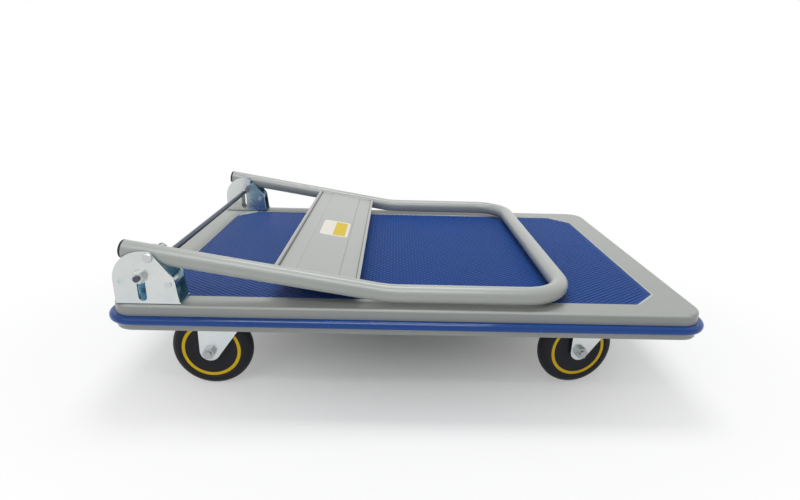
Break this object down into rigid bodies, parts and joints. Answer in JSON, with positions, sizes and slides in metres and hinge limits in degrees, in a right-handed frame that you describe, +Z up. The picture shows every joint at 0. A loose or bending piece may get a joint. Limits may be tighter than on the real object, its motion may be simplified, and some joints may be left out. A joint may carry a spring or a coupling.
{
  "type": "folding platform cart",
  "caption": "Flat steel platform cart with a ribbed mat, bumper edge, rigid and swivel casters, and a tube handle that folds flat on the deck and locks upright in slotted brackets.",
  "frame": {"origin": "on the floor under the middle of the deck", "axes": "+X along the deck away from the hinge end, +Y to the left of the person who pushes, +Z up"},
  "size_m": [0.878, 0.584, 0.2478],
  "materials": {
    "paint": "satin grey paint",
    "mat": "ribbed blue mat",
    "bumper": "smooth blue strip",
    "zinc": "plated",
    "rod": "dark oiled steel",
    "tyre": "black rubber",
    "rim": "yellow",
    "cover": "black",
    "plug": "black"
  },
  "bodies": {
    "deck": {"deck_pan": "paint", "deck_mat": "mat", "edge_bumper": "bumper", "deck_ribs": "paint", "hinge_bracket_right": "zinc", "hinge_bracket_left": "zinc", "bracket_bolts": "zinc", "bracket_nuts": "zinc", "hinge_pivots": "zinc", "stop_pins": "zinc", "lock_spring_right": "zinc", "lock_spring_left": "zinc", "rear_fork_right": "zinc", "rear_fork_left": "zinc", "rear_bushes": "zinc", "rear_axles": "zinc", "rear_axle_nuts": "zinc", "swivel_plate_right": "zinc", "swivel_plate_left": "zinc", "swivel_race_right": "zinc", "swivel_race_left": "zinc", "kingpins": "zinc", "kingpin_nuts": "zinc", "caster_studs": "zinc", "caster_nuts": "zinc"},
    "handle": {"handle_tube": "paint", "handle_panel": "paint", "handle_end_plugs": "plug"},
    "lock_rod": {"lock_rod": "rod", "lock_rod_washers": "zinc", "lock_rod_nuts": "zinc"},
    "rear_wheel_right": {"rear_tyre_right": "tyre", "rear_rim_right": "rim", "rear_covers_right": "cover"},
    "caster_right": {"swivel_fork_right": "zinc", "front_bush_right": "zinc", "front_axle_right": "zinc", "front_axle_nut_right": "zinc"},
    "front_wheel_right": {"front_tyre_right": "tyre", "front_rim_right": "rim", "front_covers_right": "cover"},
    "rear_wheel_left": {"rear_tyre_left": "tyre", "rear_rim_left": "rim", "rear_covers_left": "cover"},
    "caster_left": {"swivel_fork_left": "zinc", "front_bush_left": "zinc", "front_axle_left": "zinc", "front_axle_nut_left": "zinc"},
    "front_wheel_left": {"front_tyre_left": "tyre", "front_rim_left": "rim", "front_covers_left": "cover"}
  },
  "joints": [
    {"name": "handle_fold", "type": "hinge", "parent": "deck", "child": "handle", "pos_m": [-0.3625, 0, 0.228], "axis": [0, -1, 0], "range_deg": [0, 104]},
    {"name": "lock_rod_slide", "type": "slide", "parent": "deck", "child": "lock_rod", "axis": [0, 0, -1], "range_m": [0, 0.032], "deforming": ["lock_spring_right", "lock_spring_left"]},
    {"name": "rear_roll_right", "type": "hinge", "parent": "deck", "child": "rear_wheel_right", "pos_m": [-0.305, -0.2235, 0.0625], "axis": [0, 1, 0], "continuous": true},
    {"name": "swivel_right", "type": "hinge", "parent": "deck", "child": "caster_right", "pos_m": [0.3095, -0.195, 0.132], "axis": [0, 0, 1], "continuous": true},
    {"name": "front_roll_right", "type": "hinge", "parent": "caster_right", "child": "front_wheel_right", "pos_m": [0.27318, -0.20206, 0.0625], "axis": [-0.1908, 0.9816, 0], "continuous": true},
    {"name": "rear_roll_left", "type": "hinge", "parent": "deck", "child": "rear_wheel_left", "pos_m": [-0.305, 0.2235, 0.0625], "axis": [0, 1, 0], "continuous": true},
    {"name": "swivel_left", "type": "hinge", "parent": "deck", "child": "caster_left", "pos_m": [0.3095, 0.195, 0.132], "axis": [0, 0, 1], "continuous": true},
    {"name": "front_roll_left", "type": "hinge", "parent": "caster_left", "child": "front_wheel_left", "pos_m": [0.27318, 0.18794, 0.0625], "axis": [-0.1908, 0.9816, 0], "continuous": true}
  ],
  "couplings": [
    {"joint": "lock_rod_slide", "follows": "handle_fold", "m_per_rad": 0.017629}
  ]
}
